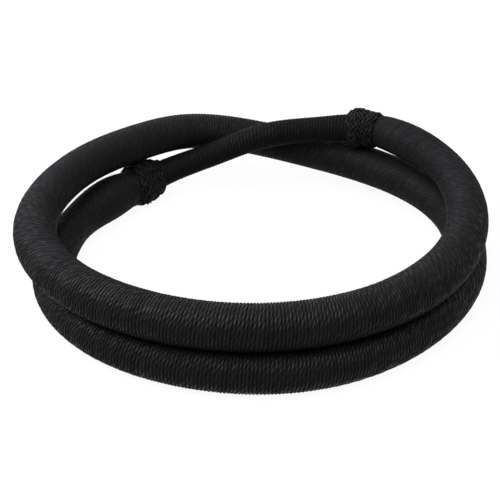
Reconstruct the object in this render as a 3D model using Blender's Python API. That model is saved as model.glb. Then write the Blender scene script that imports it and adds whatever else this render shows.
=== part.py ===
# Igal head cord: one closed loop laid in two turns, resting on its lower turn.
# A padded, thread-wound roll makes nearly both turns. At the back its two narrowed ends are
# joined by a thinner wound cord, which crosses inside the roll. A knot covers each joint.
# Metres, +Z up, the wearer's front towards -Y, origin at the bottom centre of the loop.

from collections import namedtuple
from math import pi

import bpy
import numpy as np

# driving sizes
RING_RADIUS = 0.094        # middle of the head opening to the middle of the loop, a round mean
ROLL_DIAMETER = 0.019      # the padded roll at its fullest, at the front and sides
NECK_DIAMETER = 0.0142     # the roll where it enters a knot
LINK_DIAMETER = 0.0117     # the thinner cord that joins the roll's two ends
KNOT_DIAMETER = 0.0185     # a knot over its lobes
KNOT_LENGTH = 0.0172       # a knot along the cord
KNOT_EDGE = 0.0009         # least wall of a knot, at its two mouths
KNOT_GROOVE = 0.0011       # depth of the dips between a knot's lobes
REST_SHARE = 0.006         # lift, as a share of the roll's diameter, that counts as resting
CLEARANCE = 0.0004         # gap between pieces that touch on the real loop

LEFT_KNOT = 685.5          # degrees along the loop, from the back, clockwise seen from above
RIGHT_KNOT = 753.3
TWO_TURNS = 720.0

SIDES = 16                 # flats round a section, one of them facing straight down
SPACING = 0.0080           # step along the roll and the joining cord
KNOT_STEPS = 10            # steps along a knot
KNOT_LOBES = 4             # lobes round a knot

# The loop's route. angle: degrees as above. what: the piece whose size the row is measured to.
# share: that piece's diameter here, as a share of its full one. reach: how far its outer side
# lies outside the ring radius, and lift: how high its underside lies above the rest surface,
# both as shares of the roll's diameter.
Stop = namedtuple("Stop", "angle what share reach lift")
ROUTE = [Stop(*row) for row in (
    # upper turn: right knot, right side, front, left side, down at the back
    (33.3, "knot", 1.00, 1.04, 1.24),
    (45, "roll", 0.88, 1.02, 1.29),
    (58, "roll", 0.84, 0.92, 1.27),
    (76, "roll", 0.90, 0.72, 1.13),
    (95, "roll", 0.96, 0.50, 1.04),
    (118, "roll", 1.00, 0.33, 1.02),
    (142, "roll", 1.00, 0.22, 1.02),
    (166, "roll", 1.00, 0.15, 1.02),
    (190, "roll", 1.00, 0.12, 1.02),
    (214, "roll", 1.00, 0.17, 1.02),
    (238, "roll", 1.00, 0.31, 1.01),
    (264, "roll", 0.98, 0.44, 1.00),
    (288, "roll", 0.95, 0.48, 1.02),
    (310, "roll", 0.92, 0.50, 1.08),
    (326, "roll", 0.91, 0.58, 1.07),
    (342, "roll", 0.87, 0.78, 1.02),
    (358, "roll", 0.87, 0.94, 0.72),
    # lower turn: out of the crossing, right side, front, left side, left knot
    (374, "roll", 0.90, 0.98, 0.41),
    (388, "roll", 0.89, 0.94, 0.29),
    (404, "roll", 0.85, 0.90, 0.23),
    (424, "roll", 0.85, 0.85, 0.14),
    (448, "roll", 0.94, 0.61, 0.02),
    (474, "roll", 1.00, 0.35, 0.00),
    (500, "roll", 1.00, 0.24, 0.00),
    (526, "roll", 1.00, 0.22, 0.00),
    (552, "roll", 1.00, 0.13, 0.00),
    (578, "roll", 1.00, 0.11, 0.00),
    (604, "roll", 0.99, 0.11, 0.00),
    (628, "roll", 0.97, 0.06, 0.00),
    (650, "roll", 0.91, 0.09, 0.00),
    (668, "roll", 0.98, 0.21, 0.00),
    (685.5, "knot", 1.00, 0.34, 0.040),
    # joining cord: up and across, inside the roll, to the right knot
    (699, "link", 1.00, 0.17, 0.44),
    (710, "link", 1.00, -0.01, 0.79),
    (720, "link", 1.00, -0.06, 1.11),
    (731, "link", 1.00, 0.12, 1.29),
    (742, "link", 1.00, 0.47, 1.36),
)]

FULL = {"roll": ROLL_DIAMETER, "link": LINK_DIAMETER, "knot": KNOT_DIAMETER}


def loop_curve(angles, values):
    """Smooth closed curve through the values, which repeats every two turns."""
    x = np.append(angles, angles[0] + TWO_TURNS)
    y = np.append(values, values[0])
    step = np.diff(x)
    rise = np.diff(y) / step
    n = len(step)
    lhs, rhs = np.zeros((n, n)), np.zeros(n)
    for i in range(n):
        before = step[i - 1]
        lhs[i, i - 1] += step[i]
        lhs[i, i] += 2 * (before + step[i])
        lhs[i, (i + 1) % n] += before
        rhs[i] = 3 * (step[i] * rise[i - 1] + before * rise[i])
    slope = np.linalg.solve(lhs, rhs)
    slope = np.append(slope, slope[0])

    def value(at):
        at = x[0] + (np.asarray(at, float) - x[0]) % TWO_TURNS
        i = np.clip(np.searchsorted(x, at, side="right") - 1, 0, n - 1)
        h, t = step[i], (at - x[i]) / step[i]
        return ((1 + 2 * t) * (1 - t) ** 2 * y[i] + t * (1 - t) ** 2 * h * slope[i]
                + t * t * (3 - 2 * t) * y[i + 1] + t * t * (t - 1) * h * slope[i + 1])
    return value


def make_route():
    """Centre line, length along the loop, and the roll's thickness, all along the route."""
    angles = [stop.angle for stop in ROUTE]
    girth, reach, lift = [], [], []
    for stop in ROUTE:
        knotted = stop.what == "knot"
        own = NECK_DIAMETER if knotted else stop.share * FULL[stop.what]
        wall = (KNOT_DIAMETER - NECK_DIAMETER) / 2 if knotted else 0
        girth.append(own)
        reach.append(stop.reach * ROLL_DIAMETER - wall)
        lift.append(stop.lift * ROLL_DIAMETER + wall)
    thick, outer, under = (loop_curve(angles, column) for column in (girth, reach, lift))

    at = np.linspace(angles[0], angles[0] + TWO_TURNS, 1441)
    out = RING_RADIUS + outer(at) - thick(at) / 2
    up = np.maximum(under(at) - REST_SHARE * ROLL_DIAMETER, 0) + thick(at) / 2 * np.cos(pi / SIDES)
    turn = np.radians(at)
    line = np.stack([out * np.sin(turn), out * np.cos(turn), up], axis=1)
    run = np.append(0, np.cumsum(np.linalg.norm(np.diff(line, axis=0), axis=1)))
    return at, line, run, thick(at)


AT, LINE, RUN, THICK = make_route()
LOOP_LENGTH = RUN[-1]


def run_at(angle):
    """Length along the loop at an angle, which may lie past the table's end."""
    extra = LOOP_LENGTH if angle > AT[-1] else 0
    return np.interp(angle - (TWO_TURNS if extra else 0), AT, RUN) + extra


def sample(values, run):
    """Values of the route at lengths along it, past either end too."""
    return np.interp(run % LOOP_LENGTH, RUN, values)


def centre(run):
    return np.stack([sample(LINE[:, k], run) for k in range(3)], axis=1)


def directions(run):
    """Directions across the cord at each length: sideways and upwards."""
    ahead = centre(run + 0.0015) - centre(run - 0.0015)
    ahead /= np.linalg.norm(ahead, axis=1)[:, None]
    up = np.array([0, 0, 1.0]) - ahead[:, 2:] * ahead
    up /= np.linalg.norm(up, axis=1)[:, None]
    return np.cross(up, ahead), up


def ring_points(run, radius):
    """Sections of the cord, one ring of SIDES points at each length."""
    side, up = directions(run)
    turn = (np.arange(SIDES) + 0.5) * 2 * pi / SIDES - pi / 2
    radius = np.broadcast_to(np.asarray(radius).reshape(len(run), -1), (len(run), SIDES))
    spread = (side[:, None] * np.cos(turn)[None, :, None] + up[:, None] * np.sin(turn)[None, :, None])
    return centre(run)[:, None] + spread * radius[:, :, None]


def skin(first, count, inwards=False):
    """Faces between rings that follow one another."""
    faces = []
    for i in range(count - 1):
        for k in range(SIDES):
            a = first + i * SIDES + k
            b = first + i * SIDES + (k + 1) % SIDES
            face = (a, b, b + SIDES, a + SIDES)
            faces.append(face[::-1] if inwards else face)
    return faces


def solid_cord(rings):
    """A cord with a flat face at each end."""
    count = len(rings)
    last = (count - 1) * SIDES
    faces = skin(0, count)
    faces.append(tuple(reversed(range(SIDES))))
    faces.append(tuple(last + k for k in range(SIDES)))
    return rings.reshape(-1, 3), faces


def sleeve(outer, inner):
    """A sleeve with an open bore."""
    count = len(outer)
    total = count * SIDES
    faces = skin(0, count) + skin(total, count, inwards=True)
    for end in (0, count - 1):
        for k in range(SIDES):
            a, b = end * SIDES + k, end * SIDES + (k + 1) % SIDES
            face = (a, a + total, b + total, b)
            faces.append(face if end == 0 else face[::-1])
    return np.concatenate([outer, inner]).reshape(-1, 3), faces


RIGHT_RUN = run_at(RIGHT_KNOT)
LEFT_RUN = run_at(LEFT_KNOT)


def strand_radius(run):
    """Radius of what runs through: the roll, narrowed to the joining cord inside the knots."""
    run = np.asarray(run, float)
    since_right = (run - RIGHT_RUN) % LOOP_LENGTH
    before_left = (LEFT_RUN - run) % LOOP_LENGTH
    on_link = (run - LEFT_RUN) % LOOP_LENGTH < RIGHT_RUN - LEFT_RUN
    depth = np.clip(np.minimum(since_right, before_left) / (KNOT_LENGTH / 2), 0, 1)
    ease = depth * depth * (3 - 2 * depth)
    roll = LINK_DIAMETER + (sample(THICK, run) - LINK_DIAMETER) * ease
    return np.where(on_link, LINK_DIAMETER, roll) / 2


def steps_between(start, end):
    return np.linspace(start, end, int(round((end - start) / SPACING)) + 1)


def padded_roll():
    """The roll, from the right knot round both turns to the left knot."""
    start = RIGHT_RUN - LOOP_LENGTH + CLEARANCE / 2
    end = LEFT_RUN - CLEARANCE / 2
    half = KNOT_LENGTH / 2
    run = np.concatenate([np.linspace(start, start + half, 4)[:-1],
                          steps_between(start + half, end - half),
                          np.linspace(end - half, end, 4)[1:]])
    return solid_cord(ring_points(run, strand_radius(run)))


def crossing_cord():
    """The thinner cord between the two knots."""
    run = steps_between(LEFT_RUN + CLEARANCE / 2, RIGHT_RUN - CLEARANCE / 2)
    return solid_cord(ring_points(run, np.full(len(run), LINK_DIAMETER / 2)))


def knot(middle, roll_side):
    """A lobed sleeve over the joint. roll_side is -1 where the roll comes first, else +1."""
    along = np.linspace(-1, 1, KNOT_STEPS + 1)
    run = middle + along * KNOT_LENGTH / 2
    bore = strand_radius(run) + CLEARANCE
    full = KNOT_DIAMETER / 2 * (1 - 0.16 * np.abs(along) ** 3)
    turn = (np.arange(SIDES) + 0.5) * 2 * pi / SIDES
    lobes = 0.5 - 0.5 * np.cos(KNOT_LOBES * turn[None, :] + roll_side * 2 * pi * along[:, None])
    outer = full[:, None] - KNOT_GROOVE * lobes * (1 - along[:, None] ** 4)
    outer = np.maximum(outer, bore[:, None] + KNOT_EDGE)
    return sleeve(ring_points(run, outer), ring_points(run, bore))


def thread_finish(name, colour, roughness):
    finish = bpy.data.materials.new(name)
    finish.use_nodes = True
    shader = finish.node_tree.nodes["Principled BSDF"]
    shader.inputs["Base Color"].default_value = (*colour, 1)
    shader.inputs["Roughness"].default_value = roughness
    shader.inputs["Metallic"].default_value = 0
    finish.diffuse_color = (*colour, 1)
    return finish


def add_piece(name, points, faces, finish):
    mesh = bpy.data.meshes.new(name)
    mesh.from_pydata([tuple(p) for p in points], [], faces)
    mesh.validate()
    mesh.update()
    mesh.polygons.foreach_set("use_smooth", [True] * len(mesh.polygons))
    mesh.materials.append(finish)
    piece = bpy.data.objects.new(name, mesh)
    bpy.context.scene.collection.objects.link(piece)


def build():
    for old in list(bpy.data.objects):
        bpy.data.objects.remove(old, do_unlink=True)
    pieces = {
        "padded_roll": (padded_roll(), ((0.0125, 0.0125, 0.0135), 0.62)),
        "crossing_cord": (crossing_cord(), ((0.0125, 0.0125, 0.0130), 0.66)),
        "left_knot": (knot(LEFT_RUN, -1), ((0.0110, 0.0110, 0.0115), 0.72)),
        "right_knot": (knot(RIGHT_RUN, 1), ((0.0110, 0.0110, 0.0115), 0.72)),
    }
    every = np.concatenate([points for (points, _), _ in pieces.values()])
    low, high = every.min(axis=0), every.max(axis=0)
    base = np.array([(low[0] + high[0]) / 2, (low[1] + high[1]) / 2, low[2]])
    for name, ((points, faces), (colour, roughness)) in pieces.items():
        add_piece(name, points - base, faces, thread_finish(name + "_thread", colour, roughness))


build()
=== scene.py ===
import math
import bpy
import numpy as np
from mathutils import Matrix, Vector


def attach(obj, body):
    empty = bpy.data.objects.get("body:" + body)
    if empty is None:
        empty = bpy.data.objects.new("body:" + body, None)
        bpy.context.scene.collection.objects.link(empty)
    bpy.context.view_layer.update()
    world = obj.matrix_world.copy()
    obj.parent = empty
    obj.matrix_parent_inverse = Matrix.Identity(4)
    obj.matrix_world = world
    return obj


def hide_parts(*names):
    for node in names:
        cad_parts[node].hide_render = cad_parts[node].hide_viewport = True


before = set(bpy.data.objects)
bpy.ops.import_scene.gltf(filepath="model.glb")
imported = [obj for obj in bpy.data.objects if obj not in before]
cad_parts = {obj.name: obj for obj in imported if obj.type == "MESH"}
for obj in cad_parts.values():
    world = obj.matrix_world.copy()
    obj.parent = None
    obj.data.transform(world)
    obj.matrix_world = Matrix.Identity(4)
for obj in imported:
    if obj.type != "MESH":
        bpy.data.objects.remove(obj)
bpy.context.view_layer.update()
bpy.ops.object.select_all(action="DESELECT")
print("frame loaded:", ", ".join(sorted(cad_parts)))


# the camera stands before the loop and above it
cameraValues = {
    "elevation": 29.0,          # degrees above the horizon
    "distance": 0.700,          # from the middle of the loop
    "lens": 114.5,              # mm
    "sensor": 36,               # mm
    "nearest": 0.05,
    "furthest": 20,
    "middle": (-0.00166, -0.00742, 0.019),
    "aimRight": 0.0004,         # the picture's middle lies a little off the loop's
    "aimDown": 0.0040,
}


def makeCamera(v):
    tilt = math.radians(v["elevation"])
    ahead = Vector((0, math.cos(tilt), -math.sin(tilt)))
    up = Vector((0, math.sin(tilt), math.cos(tilt)))
    middle = Vector(v["middle"])
    eye = middle - ahead * v["distance"]
    aim = middle + Vector((v["aimRight"], 0, 0)) - up * v["aimDown"]
    data = bpy.data.cameras.new("camera")
    data.lens = v["lens"]
    data.sensor_width = v["sensor"]
    data.clip_start, data.clip_end = v["nearest"], v["furthest"]
    camera = bpy.data.objects.new("camera", data)
    bpy.context.scene.collection.objects.link(camera)
    camera.location = eye
    camera.rotation_euler = (aim - eye).to_track_quat("-Z", "Y").to_euler()
    bpy.context.scene.camera = camera


makeCamera(cameraValues)
print("camera placed")


# the loop's route: the CAD's own table, with a few stops moved closer to the photograph
loopValues = {
    "ringRadius": 0.094,
    "rollDiameter": 0.019,
    "neckDiameter": 0.0142,
    "linkDiameter": 0.0117,
    "knotDiameter": 0.0185,
    "knotLength": 0.0172,
    "leftKnot": 685.5,          # degrees along the loop, from the back, clockwise from above
    "restShare": 0.006,         # how far the roll is pressed flat on the table, of its thickness
    "facets": 16,               # the CAD's cords have this many sides and rest on one
    "samples": 2881,            # places at which the route is worked out
    "look": 0.0015,             # how far ahead and behind its direction is read
    "offset": (0.00165598, 0.00742455),   # the route's own middle to the CAD's origin
    # angle, what is measured, its share of full thickness, reach outwards, lift off the table;
    # the first stop is the right knot
    "stops": (
        (33.3, "knot", 1.00, 1.04, 1.24),
        (45, "roll", 0.88, 1.02, 1.29),
        (58, "roll", 0.84, 0.92, 1.27),
        (76, "roll", 0.90, 0.72, 1.13),
        (95, "roll", 0.96, 0.50, 1.04),
        (118, "roll", 1.00, 0.33, 1.02),
        (142, "roll", 1.00, 0.22, 1.02),
        (166, "roll", 1.00, 0.15, 1.02),
        (190, "roll", 1.00, 0.12, 1.02),
        (214, "roll", 1.00, 0.17, 1.02),
        (238, "roll", 1.00, 0.31, 1.01),
        (264, "roll", 0.98, 0.44, 1.00),
        (288, "roll", 0.95, 0.48, 1.02),
        (310, "roll", 0.92, 0.50, 1.08),
        (326, "roll", 0.91, 0.58, 1.07),
        (342, "roll", 0.87, 0.78, 1.02),
        (358, "roll", 0.87, 0.94, 0.72),
        (374, "roll", 0.90, 0.98, 0.41),
        (388, "roll", 0.93, 0.94, 0.31),
        (404, "roll", 0.92, 0.90, 0.27),
        (424, "roll", 0.90, 0.86, 0.18),
        (448, "roll", 0.94, 0.61, 0.02),
        (474, "roll", 1.00, 0.35, 0.00),
        (500, "roll", 1.00, 0.24, 0.00),
        (526, "roll", 1.00, 0.22, 0.00),
        (552, "roll", 1.00, 0.13, 0.00),
        (578, "roll", 1.00, 0.11, 0.00),
        (604, "roll", 0.99, 0.11, 0.00),
        (628, "roll", 0.95, 0.060, 0.00),
        (645, "roll", 0.88, 0.052, 0.00),
        (656, "roll", 0.875, 0.108, 0.00),
        (664, "roll", 0.97, 0.165, 0.00),
        (672, "roll", 1.02, 0.21, 0.017),
        (685.5, "knot", 1.00, 0.34, 0.040),
        (699, "link", 1.00, 0.17, 0.44),
        (710, "link", 0.95, -0.025, 0.79),
        (720, "link", 1.00, -0.06, 1.11),
        (731, "link", 1.00, 0.12, 1.29),
        (742, "link", 1.00, 0.47, 1.36),
    ),
}


def ease(t):
    # from 0 to 1 with a soft start and end
    return t * t * (3 - 2 * t)


def loopCurve(angles, values, at):
    # smooth closed curve through the values, read at the angles in at
    x = np.append(angles, angles[0] + 720)
    y = np.append(values, values[0])
    step = np.diff(x)
    rise = np.diff(y) / step
    n = len(step)
    left, right = np.zeros((n, n)), np.zeros(n)
    for i in range(n):
        left[i, i - 1] += step[i]
        left[i, i] += 2 * (step[i - 1] + step[i])
        left[i, (i + 1) % n] += step[i - 1]
        right[i] = 3 * (step[i] * rise[i - 1] + step[i - 1] * rise[i])
    slope = np.linalg.solve(left, right)
    slope = np.append(slope, slope[0])
    at = x[0] + (at - x[0]) % 720
    i = np.clip(np.searchsorted(x, at, side="right") - 1, 0, n - 1)
    h, t = step[i], (at - x[i]) / step[i]
    return ((1 + 2 * t) * (1 - t) ** 2 * y[i] + t * (1 - t) ** 2 * h * slope[i]
            + t * t * (3 - 2 * t) * y[i + 1] + t * t * (t - 1) * h * slope[i + 1])


def makeRoute(v):
    full = {"roll": v["rollDiameter"], "link": v["linkDiameter"]}
    angles = [row[0] for row in v["stops"]]
    girth, reach, lift = [], [], []
    for angle, what, share, out, up in v["stops"]:
        own = v["neckDiameter"] if what == "knot" else share * full[what]
        wall = (v["knotDiameter"] - v["neckDiameter"]) / 2 if what == "knot" else 0
        girth.append(own)
        reach.append(out * v["rollDiameter"] - wall)
        lift.append(up * v["rollDiameter"] + wall)
    at = np.linspace(angles[0], angles[0] + 720, v["samples"])
    thick, outer, under = (loopCurve(angles, column, at) for column in (girth, reach, lift))
    out = v["ringRadius"] + outer - thick / 2
    up = np.maximum(under - v["restShare"] * v["rollDiameter"], 0)
    up = up + thick / 2 * math.cos(math.pi / v["facets"])
    turn = np.radians(at)
    line = np.stack([out * np.sin(turn) - v["offset"][0], out * np.cos(turn) - v["offset"][1], up], axis=1)
    run = np.append(0, np.cumsum(np.linalg.norm(np.diff(line, axis=0), axis=1)))
    return {"at": at, "line": line, "run": run, "thick": thick, "whole": run[-1]}


route = makeRoute(loopValues)
rightRun = route["whole"]       # the route starts and ends at the right knot
leftRun = float(np.interp(loopValues["leftKnot"], route["at"], route["run"]))
halfKnot = loopValues["knotLength"] / 2


def readRoute(name, run):
    run = np.asarray(run, float) % route["whole"]
    if name == "line":
        return np.stack([np.interp(run, route["run"], route["line"][:, k]) for k in range(3)], axis=-1)
    return np.interp(run, route["run"], route[name])


def routeFrame(run):
    # middle of the cord, and the directions to its side and its top
    run = np.asarray(run, float)
    look = loopValues["look"]
    ahead = readRoute("line", run + look) - readRoute("line", run - look)
    ahead /= np.linalg.norm(ahead, axis=-1)[..., None]
    up = np.array([0, 0, 1.0]) - ahead[..., 2:] * ahead
    up /= np.linalg.norm(up, axis=-1)[..., None]
    return readRoute("line", run), np.cross(up, ahead), up


def narrowed(run, fromEnd):
    # a cord's radius: the route's own, but as thin as the crossing cord where an end is held in a knot
    link = loopValues["linkDiameter"]
    return (link + (readRoute("thick", run) - link) * ease(np.clip(fromEnd / halfKnot, 0, 1))) / 2


def rollRadius(run):
    run = np.asarray(run, float)
    return narrowed(run, np.minimum(run % route["whole"], (leftRun - run) % route["whole"]))


def linkRadius(run):
    return narrowed(run, np.minimum(run - leftRun, rightRun - run))


print("route laid:", round(route["whole"], 3), "m round both turns")


def smoothNoise(count, spacing, seed):
    # random values from -1 to 1 that change slowly along a list
    picks = np.random.default_rng(seed).uniform(-1, 1, int(count / spacing) + 4)
    x = np.arange(count) / spacing
    i = x.astype(int)
    t = ease(x - i)
    return picks[i] * (1 - t) + picks[i + 1] * t


def addMesh(name, points, faces, corners, creased=None):
    # corners: a place in the thread pattern for each face corner. creased: the points of the sharp edges
    mesh = bpy.data.meshes.new(name)
    mesh.from_pydata([tuple(p) for p in points], [], [tuple(f) for f in faces])
    layer = mesh.uv_layers.new(name="thread")
    layer.data.foreach_set("uv", np.asarray(corners, np.float32).ravel())
    mesh.polygons.foreach_set("use_smooth", np.ones(len(mesh.polygons), dtype=bool))
    if creased is not None:
        ends = np.zeros(2 * len(mesh.edges), dtype=np.int32)
        mesh.edges.foreach_get("vertices", ends)
        sharp = creased[ends.reshape(-1, 2)].all(axis=1)
        mesh.attributes.new("sharp_edge", "BOOLEAN", "EDGE").data.foreach_set("value", sharp)
    mesh.update()
    piece = bpy.data.objects.new(name, mesh)
    bpy.context.scene.collection.objects.link(piece)
    return piece


def woundCord(name, start, end, radiusAt, v):
    # a cord under a close helix of yarns: the mesh itself runs along the yarns
    sides, steps, starts = v["sides"], v["stepsPerYarn"], v["starts"]
    lag = steps * starts                                # rows by which one turn of yarn climbs
    pitch = (end - start) / max(1, round((end - start) / v["yarnPitch"]))
    rows = int(round((end - start) / pitch * steps)) - lag
    row = np.arange(rows + 1)[:, None]
    share = np.arange(sides)[None, :] / sides           # of a turn round the cord
    turn = share * 2 * math.pi
    along = row + lag * (1 - share)                     # in steps along the cord
    at = np.clip(along.astype(int), 0, rows + lag)

    def noise(span, extraSeed):
        return smoothNoise(rows + 1 + lag, v[span] * steps, v["seed"] + extraSeed)[at]

    # the yarns stray along the cord, but not at its two ends
    wander = noise("wanderSpan", 0) * v["wander"] * pitch
    lean = noise("wanderSpan", 1) * v["leanWander"] * pitch
    inside = np.clip(np.minimum(along, rows + lag - along) / (v["evenEnds"] * lag), 0, 1)
    run = start + along / steps * pitch + inside * (wander + lean * np.sin(turn - v["leanTurn"]))

    # ribs: each yarn keeps its own height, and the winding is smoother round the back
    yarn = row // steps
    crown = np.sin(math.pi * ((row % steps) / steps)) ** v["crownPower"]
    picks = np.random.default_rng(v["seed"] + 2).uniform(-1, 1, rows // steps + starts + 3)
    proud = picks[yarn + starts] * (1 - share) + picks[yarn] * share
    back = (readRoute("line", run)[..., 1] - v["backFrom"]) / (v["backTo"] - v["backFrom"])
    relief = 1 - (1 - v["backRelief"]) * ease(np.clip(back, 0, 1))
    depth = v["yarnDepth"] * (1 + v["depthVaries"] * proud) * relief
    radius = radiusAt(run) + v["proud"] - depth * (1 - crown) + v["heightVaries"] * proud * crown * relief

    # slow lumps, and places where the cord is slightly oval
    lump, oval = noise("lumpSpan", 3), noise("lumpSpan", 4)
    oval = v["ovalShare"] * oval * np.cos(2 * turn + v["ovalSpin"] * lump)
    radius = radius * (1 + v["lumps"] * (lump + oval))

    middle, side, up = routeFrame(run)
    points = middle + radius[..., None] * (side * np.cos(turn)[..., None] + up * np.sin(turn)[..., None])

    # what would sink into the table lies flat on it
    flat, z = v["restHeight"], points[..., 2]
    points[..., 2] = np.where(z < 2 * flat, flat + np.maximum(z, 0) ** 2 / (4 * flat), z)

    def corner(r, c):
        return r * sides + c

    around = v["radius"] * 2 * math.pi * 1000           # the second pattern direction is in mm
    faces, corners = [], []
    for r in range(rows):
        u0, u1 = r / steps, (r + 1) / steps
        for c in range(sides - 1):
            faces.append((corner(r, c), corner(r, c + 1), corner(r + 1, c + 1), corner(r + 1, c)))
            a, b = c / sides * around, (c + 1) / sides * around
            corners += [(u0, a), (u0, b), (u1, b), (u1, a)]
        if r >= lag:                                    # the seam, where a yarn goes on into its next turn
            last, low = sides - 1, r - lag
            faces.append((corner(r, last), corner(low, 0), corner(low + 1, 0), corner(r + 1, last)))
            a = last / sides * around
            corners += [(u0, a), (u0, around), (u1, around), (u1, a)]
    count = points.shape[0] * sides
    points = points.reshape(-1, 3)
    # each end is closed by a fan round a point in its middle
    startRim = [corner(0, c) for c in range(sides)] + [corner(r, sides - 1) for r in range(1, lag + 1)]
    endRim = [corner(rows, c) for c in range(sides)] + [corner(r, 0) for r in range(rows - lag, rows)]
    tips = [points[startRim].mean(axis=0), points[endRim].mean(axis=0)]
    points = np.concatenate([points, tips])
    for i, rim in enumerate((startRim, endRim)):
        for k in range(len(rim)):
            a, b = rim[k], rim[(k + 1) % len(rim)]
            faces.append((count + i, b, a) if i == 0 else (count + i, a, b))
            corners += [(0, 0), (0, 1), (0.1, 0)]
    # the dips between two yarns are creases
    creased = np.append(np.repeat(np.arange(rows + 1) % steps == 0, sides), [False, False])
    piece = addMesh(name, points, faces, corners, creased)
    print(name, "wound:", rows // steps, "yarn turns,", sum(len(f) - 2 for f in faces), "triangles")
    return piece


def spread(tree, value, limits, x, y):
    # limits: the value's own range, then the range that it is spread over
    node = tree.nodes.new("ShaderNodeMapRange")
    node.location = (x, y)
    for key, limit in zip(("From Min", "From Max", "To Min", "To Max"), limits):
        node.inputs[key].default_value = limit
    tree.links.new(value, node.inputs["Value"])
    return node


def threadFinish(name, v):
    finish = bpy.data.materials.new(name)
    finish.use_nodes = True
    tree = finish.node_tree
    nodes, links = tree.nodes, tree.links
    shader = nodes["Principled BSDF"]
    shader.inputs["Metallic"].default_value = 0
    shader.inputs["Specular IOR Level"].default_value = v["specular"]
    shader.inputs["Anisotropic"].default_value = v["streak"]

    def add(kind, x, y, **sockets):
        node = nodes.new(kind)
        node.location = (x, y)
        for key, value in sockets.items():
            node.inputs[key].default_value = value
        return node

    def calc(kind, x, y, *items):
        node = add("ShaderNodeMath", x, y)
        node.operation = kind
        for i, item in enumerate(items):
            if isinstance(item, (int, float)):
                node.inputs[i].default_value = item
            else:
                links.new(item, node.inputs[i])
        return node.outputs[0]

    def swing(value, mean, amount, x, y):
        # a factor that follows a value, and is 1 where the value is at its mean
        return calc("MULTIPLY_ADD", x, y, value, amount, 1 - amount * mean)

    # the pattern's first direction counts yarns, its second goes along them in mm
    pattern = add("ShaderNodeUVMap", -1500, 0)
    pattern.uv_map = "thread"
    split = add("ShaderNodeSeparateXYZ", -1300, 0)
    links.new(pattern.outputs[0], split.inputs[0])
    yarns, length = split.outputs[0], split.outputs[1]
    yarn = calc("FLOOR", -1100, 200, yarns)
    across = calc("FRACT", -1100, 50, yarns)
    gloss = add("ShaderNodeTangent", -140, -400)        # gloss spreads along the roll, across the yarns
    gloss.direction_type = "UV_MAP"
    gloss.uv_map = "thread"
    links.new(gloss.outputs[0], shader.inputs["Tangent"])

    # the plies of each yarn run slantwise over it, and no two yarns are in step
    start = add("ShaderNodeTexWhiteNoise", -1300, 560)
    start.noise_dimensions = "1D"
    links.new(yarn, start.inputs["W"])
    slant = calc("ADD", -1160, 440, start.outputs["Value"], yarns)
    slant = calc("MULTIPLY_ADD", -1100, 400, length, 1 / v["plyLength"], slant)
    ply = calc("FLOOR", -900, 400, slant)
    ridge = calc("SINE", -740, 520, calc("MULTIPLY", -900, 520, slant, math.pi))
    ridge = calc("ABSOLUTE", -580, 520, ridge)

    # each ply of each yarn has its own shade
    pair = add("ShaderNodeCombineXYZ", -760, 300)
    links.new(yarn, pair.inputs[0])
    links.new(ply, pair.inputs[1])
    pick = add("ShaderNodeTexWhiteNoise", -600, 300)
    pick.noise_dimensions = "2D"
    links.new(pair.outputs[0], pick.inputs["Vector"])
    own = pick.outputs["Value"]

    # cloudy wear over the whole length
    place = add("ShaderNodeTexCoord", -1500, -500).outputs["Object"]
    wear = add("ShaderNodeTexNoise", -900, -450, Scale=v["cloudScale"], Detail=3.0, Roughness=0.6)
    links.new(place, wear.inputs["Vector"])
    cloud = wear.outputs["Fac"]

    # fibres that run along each yarn, with the yarn's own twist
    strand = add("ShaderNodeCombineXYZ", -700, -100)
    links.new(calc("MULTIPLY", -1100, -350, yarns, v["fibreAcross"]), strand.inputs[0])
    twist = calc("MULTIPLY", -1100, -200, length, v["fibreAlong"])
    links.new(calc("MULTIPLY_ADD", -900, -100, yarns, v["twist"], twist), strand.inputs[1])
    fibres = add("ShaderNodeTexNoise", -520, -100, Scale=1.0, Detail=4.0, Roughness=0.65)
    links.new(strand.outputs[0], fibres.inputs["Vector"])
    fibre = fibres.outputs["Fac"]

    # painted shade: dark between the yarns, in the dips where shade would fall; the same share also dulls
    # the shine of the dips
    arch = calc("SINE", -700, 50, calc("MULTIPLY", -900, 50, across, math.pi))
    groove = spread(tree, arch, (v["grooveFrom"], v["grooveTo"], v["grooveDark"], 1), -520, 80).outputs[0]

    least = 1 - (v["yarnShade"] + v["cloudShade"]) / 2
    shade = calc("MULTIPLY_ADD", -520, -400, cloud, v["cloudShade"], least)
    shade = calc("MULTIPLY_ADD", -520, 280, own, v["yarnShade"], shade)
    # painted shade in the dips between the yarns
    shade = calc("MULTIPLY", -320, 200, shade, groove)
    shade = calc("MULTIPLY", -140, 120, shade, swing(fibre, 0.5, v["fibreShade"], -320, 0))
    # painted shade in the dips between the plies, with their crests lighter
    shade = calc("MULTIPLY", -60, 220, shade, swing(ridge, v["ridgeMean"], v["plyShade"], -320, 420))
    colour = add("ShaderNodeMix", 60, 160)              # from black to twice the colour
    colour.data_type = "RGBA"
    colour.inputs["A"].default_value = (0, 0, 0, 1)
    colour.inputs["B"].default_value = (*[2 * c for c in v["colour"]], 1)
    links.new(calc("MULTIPLY", 20, 300, shade, 0.5), colour.inputs["Factor"])
    links.new(colour.outputs["Result"], shader.inputs["Base Color"])

    # the crests shine, the dips between them don't
    shine = calc("MULTIPLY", -320, -160, ridge, groove)
    shine = calc("MULTIPLY", -220, -160, shine, fibre)
    uneven = swing(own, 0.5, v["shineVaries"], -320, -240)
    patchy = swing(cloud, 0.5, v["shinePatches"], -320, -320)
    shine = calc("MULTIPLY", -160, -200, shine, calc("MULTIPLY", -220, -260, uneven, patchy))

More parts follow.
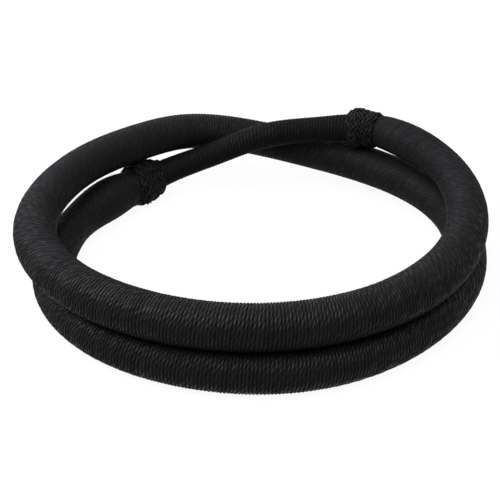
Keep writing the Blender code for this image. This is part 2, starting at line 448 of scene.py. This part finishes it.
    # round the back of the loop the thread is more even
    where = add("ShaderNodeSeparateXYZ", -1300, -500)
    links.new(place, where.inputs[0])
    limits = (v["backFrom"], v["backTo"], 1, v["backRelief"])
    easing = spread(tree, where.outputs["Y"], limits, -1100, -500)
    easing.interpolation_type = "SMOOTHSTEP"
    relief = easing.outputs[0]
    shine = calc("SUBTRACT", -160, -120, shine, v["evenShine"])
    shine = calc("MULTIPLY_ADD", -130, -120, shine, relief, v["evenShine"])
    limits = (v["shineFrom"], v["shineTo"], v["dipRoughness"], v["roughness"])
    links.new(spread(tree, shine, limits, -100, -60).outputs[0], shader.inputs["Roughness"])

    height = calc("MULTIPLY", -300, -300, fibre, v["fibreHeight"])
    height = calc("MULTIPLY_ADD", -100, -300, ridge, v["plyHeight"], height)
    height = calc("MULTIPLY", -20, -300, height, relief)
    bump = add("ShaderNodeBump", 60, -250, Strength=v["bump"], Distance=1.0)
    links.new(height, bump.inputs["Height"])
    links.new(bump.outputs[0], shader.inputs["Normal"])
    return finish


rollValues = {
    "radius": 0.0095,
    "yarnPitch": 0.00143,       # one yarn to the next, along the roll
    "yarnDepth": 0.00038,       # dip between two yarns
    "starts": 3,                # yarns wound side by side, which gives them their lean
    "sides": 26,
    "stepsPerYarn": 5,
    "crownPower": 0.7,          # below 1, so the yarns are broad and the dips narrow
    "proud": 0.00022,           # how far the crowns stand over the route's own thickness
    "depthVaries": 0.35,
    "heightVaries": 0.00009,
    "wander": 0.30,             # of a pitch
    "leanWander": 0.45,
    "leanTurn": 0.7,
    "wanderSpan": 9,            # yarns
    "evenEnds": 3,              # turns of yarn that stray less at the ends
    "lumps": 0.008,
    "lumpSpan": 22,
    "ovalShare": 0.7,
    "ovalSpin": 3,
    "restHeight": 0.00012,
    "backFrom": -0.10,          # from here to there, towards the back, the winding gets smoother
    "backTo": 0.03,
    "backRelief": 0.5,          # how much of its relief is left there
    "fill": 0.95,
    "seed": 4,
}

rollFinish = {
    "colour": (0.0019, 0.0019, 0.0021),
    "roughness": 0.29,
    "dipRoughness": 0.85,
    "shineFrom": 0.08,          # from where to where the roughness follows the shine
    "shineTo": 0.50,
    "shineVaries": 0.9,         # from ply to ply
    "shinePatches": 1.6,        # from place to place
    "backFrom": -0.10,
    "backTo": 0.03,
    "backRelief": 0.42,
    "evenShine": 0.12,          # the shine to which the back evens out
    "specular": 0.10,
    "streak": 0.18,
    "yarnShade": 0.9,
    "cloudScale": 26.0,
    "cloudShade": 0.5,
    "fibreAcross": 4.0,
    "fibreAlong": 0.7,
    "twist": 1.2,
    "fibreShade": 1.0,
    "fibreHeight": 0.00012,
    "plyLength": 3.9,           # mm of yarn in which one ply crosses it
    "plyHeight": 0.00028,
    # painted shade: how much darker a ply's dips are than its crests
    "plyShade": 0.8,
    "ridgeMean": 0.64,          # of a ply's ridge from 0 to 1
    "bump": 1.0,
    # painted shade in the dips between the yarns: where it starts and ends across a yarn, and how dark it
    # gets
    "grooveFrom": 0.15,
    "grooveTo": 0.92,
    "grooveDark": 0.05,
}

joint = 0.0002                  # half the gap between the roll's end and the cord's
paddedRoll = woundCord("paddedRoll", joint, leftRun - joint, rollRadius, rollValues)
paddedRoll.data.materials.append(threadFinish("rollThread", rollFinish))
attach(paddedRoll, "root")
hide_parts("padded_roll")


linkValues = dict(rollValues)
linkValues.update({
    "radius": 0.00585,
    "yarnPitch": 0.00155,
    "yarnDepth": 0.00026,
    "sides": 24,
    "lumps": 0.010,
    "lumpSpan": 9,
    "seed": 11,
})

linkFinish = dict(rollFinish)
linkFinish.update({
    "cloudScale": 40.0,
    "colour": (0.0017, 0.0016, 0.0017),
    "roughness": 0.46,
    "specular": 0.065,
    "backRelief": 0.35,
    "yarnShade": 0.5,
    "evenShine": 0.10,
})


crossingCord = woundCord("crossingCord", leftRun + joint, rightRun - joint, linkRadius, linkValues)
crossingCord.data.materials.append(threadFinish("cordThread", linkFinish))
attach(crossingCord, "root")
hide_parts("crossing_cord")


# along a knot, -1 is its end on the crossing cord and +1 its end on the roll
knotValues = {
    "yarn": 0.00068,            # radius of one plaited yarn
    "leads": 7,                 # yarn pairs side by side along the knot
    "bights": 10,               # scallops round each end
    "passes": 2,                # yarns laid side by side in every pair
    "passGap": 2.05,            # from the one to the other, in yarn radii
    "steps": 1000,
    "sides": 8,
    "weave": 0.00042,           # how far a pair rises and dips at a crossing
    "bend": 0.93,               # how sharply the plait turns back at the two ends
    "ply": 0.12,
    "plyPitch": 0.0034,
    "plyStart": 1.3,            # how far the second yarn's plies are turned on
    "loose": 0.00026,           # how far the yarns stray
    "looseSpan": 11,            # steps
    "joinSpan": 12,             # steps beside a yarn's join, where it strays less
    "uneven": 0.018,            # the body's own unevenness, twice round and three times round
    "lobes": 0.014,
    "lobeSpin": 5,
    "swellFade": 1.3,           # how a swelling comes and goes along the knot
    "swellShift": 0.3,
    "skin": 0.0003,             # least thickness over what the knot holds
    "sleeveRings": 17,
    "sleeveFlats": 44,
    "sleeveEnd": 0.97,
    "sleeveDip": 0.0007,        # how deep the sleeve lies under the plait
    "endDip": 2.0,              # how many times deeper at its two ends
    "ringStep": 0.9,            # from ring to ring in the thread pattern
    "clear": 0.00012,           # room left where a knot is pressed to the other turn or the table
    "pressedSteps": 240,
    "seed": 21,
}

# plait: from and to, along the knot. lean: how much nearer to the roll it lies opposite leanTurn.
# swells: how much thicker the knot is towards a side, and the direction of that side.
# thickness: place along the knot, and how thick it is there as a share of the knot's diameter.
# pressed: from and to, in degrees, where the other turn lies against the knot.
knotShapes = {
    "leftKnot": {
        "plait": (-1.30, 0.54),
        "lean": 0.42,
        "leanTurn": 1.25,
        "swells": ((0.22, 1.25), (0.10, 3.8)),
        "thickness": (
            (-1.32, 0.70), (-1.10, 0.77), (-0.90, 0.83), (-0.66, 0.92), (-0.40, 0.97),
            (-0.10, 1.04), (0.30, 1.07), (0.70, 1.00), (1.00, 0.80),
        ),
        "pressed": (295, 352),
    },
    "rightKnot": {
        "plait": (-1.02, 0.53),
        "lean": 0.0,
        "leanTurn": 0.0,
        "swells": (),
        "thickness": (
            (-1.05, 0.76), (-0.85, 0.96), (-0.62, 1.06), (-0.38, 1.02),
            (-0.10, 0.95), (0.25, 0.95), (0.60, 0.91), (1.00, 0.86),
        ),
        "pressed": (365, 425),
    },
}

knotFinish = dict(rollFinish)
knotFinish.update({
    "colour": (0.0014, 0.0014, 0.0015),
    "roughness": 0.46,
    "backRelief": 1.0,
    "fibreAcross": 3.0,
    # the knot's painted shade between its yarns, lighter than the roll's
    "grooveFrom": 0.0,
    "grooveDark": 0.45,
})


def makeKnot(name, middle, rollSide, v, shape):
    # rollSide: 1 where the roll starts at the knot, -1 where it ends there
    full = loopValues["knotDiameter"] / 2
    steps, sides, leads, bights = v["steps"], v["sides"], v["leads"], v["bights"]
    places, shares = zip(*shape["thickness"])
    besides = np.interp(np.linspace(*shape["pressed"], v["pressedSteps"]), route["at"], route["run"])
    besideLine = readRoute("line", besides)
    besideRadius = rollRadius(besides) + rollValues["proud"] + v["clear"]

    def keepClear(points, room):
        # what would be inside the other turn, or the table, lies against it
        gap = points[:, None] - besideLine[None]
        far = np.linalg.norm(gap, axis=2)
        nearest = far.argmin(axis=1)
        every = np.arange(len(points))
        scale = np.maximum((besideRadius[nearest] + room) / far[every, nearest], 1)
        points = besideLine[nearest] + gap[every, nearest] * scale[:, None]
        points[:, 2] = np.maximum(points[:, 2], room + v["clear"])
        return points

    def onKnot(along, turn, lift, inset):
        # the middle of the knot and a point over its body, which clears the cord and the roll inside
        run = middle + rollSide * along * halfKnot
        radius = np.interp(along, places, shares) * full - inset
        for amount, direction in shape["swells"]:
            towards = np.maximum(np.cos(turn - direction), 0)
            radius = radius * (1 + amount * towards ** 2 * np.cos(along * v["swellFade"] + v["swellShift"]))
        radius = radius * (1 + v["uneven"] * np.sin(2 * turn + v["seed"])
                           + v["lobes"] * np.sin(3 * turn + v["lobeSpin"] * along))
        toCord = (run - leftRun) % route["whole"] < rightRun - leftRun
        held = np.where(toCord, linkRadius(run), rollRadius(run))
        radius = (np.maximum(radius, held + v["skin"]) + lift)[..., None]
        centre, side, up = routeFrame(run)
        return centre, centre + radius * (side * np.cos(turn)[..., None] + up * np.sin(turn)[..., None])

    points, faces, corners = [], [], []

    def addTube(path, outward, radius, twistStart):
        base = sum(len(p) for p in points)
        ahead = np.roll(path, -1, axis=0) - np.roll(path, 1, axis=0)
        ahead /= np.linalg.norm(ahead, axis=1)[:, None]
        outward = outward - (outward * ahead).sum(axis=1)[:, None] * ahead
        outward /= np.linalg.norm(outward, axis=1)[:, None]
        across = np.cross(ahead, outward)
        length = np.append(0, np.cumsum(np.linalg.norm(np.diff(path, axis=0), axis=1)))
        whole = length[-1] + np.linalg.norm(path[0] - path[-1])
        turns = round(whole / v["plyPitch"])
        spin = np.arange(sides) / sides * 2 * math.pi
        twist = length / whole * turns * math.pi + twistStart
        ring = radius * (1 + v["ply"] * np.cos(2 * (spin[None, :] - twist[:, None])))
        tube = path[:, None] + ring[..., None] * (across[:, None] * np.cos(spin)[None, :, None]
                                                  + outward[:, None] * np.sin(spin)[None, :, None])
        points.append(tube.reshape(-1, 3))
        for i in range(len(path)):
            j = (i + 1) % len(path)
            near, far = base + i * sides, base + j * sides
            reached = length[j] if j else whole
            p0, p1 = length[i] / whole * turns, reached / whole * turns
            m0, m1 = length[i] * 1000, reached * 1000
            for c in range(sides):
                d = (c + 1) % sides
                faces.append((near + c, far + c, far + d, near + d))
                u0, u1 = 2 * c / sides, 2 * (c + 1) / sides
                corners.extend([(u0 - p0, m0), (u0 - p1, m1), (u1 - p1, m1), (u1 - p0, m0)])

    # the plait: one line that runs from end to end and round, over and under itself
    t = np.arange(steps) / steps * 2 * math.pi
    plaitFrom, plaitTo = shape["plait"]
    wave = np.arcsin(v["bend"] * np.cos(bights * t)) / math.asin(v["bend"])
    place = bights * t / math.pi                        # one whole number a trip from end to end
    trip = np.floor(place)
    order = (leads - 1) * trip + np.clip(leads * (place - trip) - 0.5, 0, leads - 1)
    height = v["weave"] * np.sin(math.pi * order)
    fade = v["joinSpan"]
    turn = leads * t
    along = (plaitFrom + plaitTo) / 2 + (plaitTo - plaitFrom) / 2 * wave
    along = along + shape["lean"] * (1 - np.cos(turn - shape["leanTurn"])) / 2
    centre, path = onKnot(along, turn, height, v["yarn"])
    ahead = np.roll(path, -1, axis=0) - np.roll(path, 1, axis=0)
    outward = path - centre
    across = np.cross(ahead, outward)
    across /= np.linalg.norm(across, axis=1)[:, None]
    outward /= np.linalg.norm(outward, axis=1)[:, None]
    for k in range(v["passes"]):
        shift = (k - (v["passes"] - 1) / 2) * v["passGap"] * v["yarn"]
        stray = v["loose"] * smoothNoise(steps, v["looseSpan"], v["seed"] + k)
        stray[-fade:] *= np.linspace(1, 0, fade)
        stray[:fade] *= np.linspace(0, 1, fade)
        lay = path + across * (shift + stray)[:, None]
        lay = keepClear(lay, v["yarn"] + v["weave"] - height)
        addTube(lay, outward, v["yarn"], k * v["plyStart"])

    # the sleeve that shows between the yarns
    base = sum(len(p) for p in points)
    rings, flats = v["sleeveRings"], v["sleeveFlats"]
    spots = np.linspace(min(-v["sleeveEnd"], plaitFrom), v["sleeveEnd"], rings)
    spin = np.arange(flats) / flats * 2 * math.pi
    dip = np.full((rings, 1), v["sleeveDip"])
    dip[[0, -1]] *= v["endDip"]
    grid, around = np.meshgrid(spots, spin, indexing="ij")
    sleeve = onKnot(grid, around, -dip, v["yarn"])[1]
    points.append(keepClear(sleeve.reshape(-1, 3), v["yarn"]))
    for i in range(rings - 1):
        near, far = base + i * flats, base + (i + 1) * flats
        u0 = i * v["ringStep"]
        u1 = u0 + v["ringStep"]
        for c in range(flats):
            d = (c + 1) % flats
            faces.append((near + c, near + d, far + d, far + c)[::rollSide])
            corners.extend([(u0, c), (u0, c + 1), (u1, c + 1), (u1, c)][::rollSide])
    faces.append(tuple(range(base, base + flats))[::-rollSide])
    faces.append(tuple(range(base + (rings - 1) * flats, base + rings * flats))[::rollSide])
    corners.extend([(0, 0)] * (2 * flats))
    piece = addMesh(name, np.concatenate(points), faces, corners)
    print(name, "plaited:", sum(len(f) - 2 for f in faces), "triangles")
    return piece


for name, node, middle, rollSide in (
        ("leftKnot", "left_knot", leftRun, -1),
        ("rightKnot", "right_knot", rightRun, 1)):
    piece = makeKnot(name, middle, rollSide, knotValues, knotShapes[name])
    piece.data.materials.append(threadFinish(name + "Thread", knotFinish))
    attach(piece, "root")
    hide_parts(node)


studioValues = {
    "floorSize": 6,
    "floorColour": (0.04, 0.04, 0.04),
    "floorRoughness": 0.95,
    "floorGlow": 0.93,          # the table is lit from below, so the loop's shade stays faint
    "skyColour": (0.985, 0.975, 1.0),
    "skyBehind": 1.10,          # the walls are bright behind and beside the loop
    "skyBefore": 0.08,          # and dim on the viewer's side
    "skySides": (-0.8, 0.1),    # where they change from the one to the other
    "skyAbove": 0.30,
    "skyRise": (0.1, 0.8),      # where they change to what is overhead
    # name, place, aim, size, watts, colour
    "lights": (
        ("keyLight", (-0.89, 0.22, 0.62), (0, 0, 0.02), 0.50, 12.0, (0.92, 0.88, 1.0)),
        ("frontLight", (-0.48, -0.52, 0.88), (0, 0, 0.02), 1.0, 20.0, (1.0, 0.99, 1.0)),
        ("topLight", (0.20, -0.50, 1.05), (0, 0, 0.02), 1.1, 14.0, (1.0, 0.99, 1.0)),
        ("backLight", (-0.30, 0.75, 0.85), (0, 0, 0.02), 1.0, 9.0, (0.90, 0.86, 1.0)),
        ("rightLight", (0.95, 0.10, 0.72), (0, 0, 0.02), 1.0, 3.0, (0.88, 0.83, 1.0)),
    ),
}


def makeFloor(v):
    bpy.ops.mesh.primitive_plane_add(size=v["floorSize"], location=(0, 0, 0))
    floor = bpy.context.object
    floor.name = "floor"
    paper = bpy.data.materials.new("paper")
    paper.use_nodes = True
    shader = paper.node_tree.nodes["Principled BSDF"]
    shader.inputs["Base Color"].default_value = (*v["floorColour"], 1)
    shader.inputs["Roughness"].default_value = v["floorRoughness"]
    shader.inputs["Specular IOR Level"].default_value = 0.0
    shader.inputs["Emission Color"].default_value = (1, 1, 1, 1)
    shader.inputs["Emission Strength"].default_value = v["floorGlow"]
    floor.data.materials.append(paper)


def makeLight(v):
    world = bpy.data.worlds.new("studio")
    bpy.context.scene.world = world
    world.use_nodes = True
    tree = world.node_tree
    sky = tree.nodes["Background"]
    sky.inputs["Color"].default_value = (*v["skyColour"], 1)
    where = tree.nodes.new("ShaderNodeTexCoord")
    split = tree.nodes.new("ShaderNodeSeparateXYZ")
    tree.links.new(where.outputs["Generated"], split.inputs[0])
    around = spread(tree, split.outputs["Y"], (*v["skySides"], v["skyBefore"], v["skyBehind"]), -500, 200)
    above = spread(tree, split.outputs["Z"], (*v["skyRise"], 1, v["skyAbove"]), -300, 0)
    tree.links.new(around.outputs[0], above.inputs["To Min"])
    tree.links.new(above.outputs[0], sky.inputs["Strength"])
    for name, place, aim, size, watts, colour in v["lights"]:
        data = bpy.data.lights.new(name, "AREA")
        data.shape = "DISK"
        data.size = size
        data.energy = watts
        data.color = colour
        light = bpy.data.objects.new(name, data)
        bpy.context.scene.collection.objects.link(light)
        light.location = place
        light.rotation_euler = (Vector(aim) - Vector(place)).to_track_quat("-Z", "Y").to_euler()
    bpy.context.scene.view_settings.view_transform = "Standard"


makeFloor(studioValues)
makeLight(studioValues)
print("studio lit")
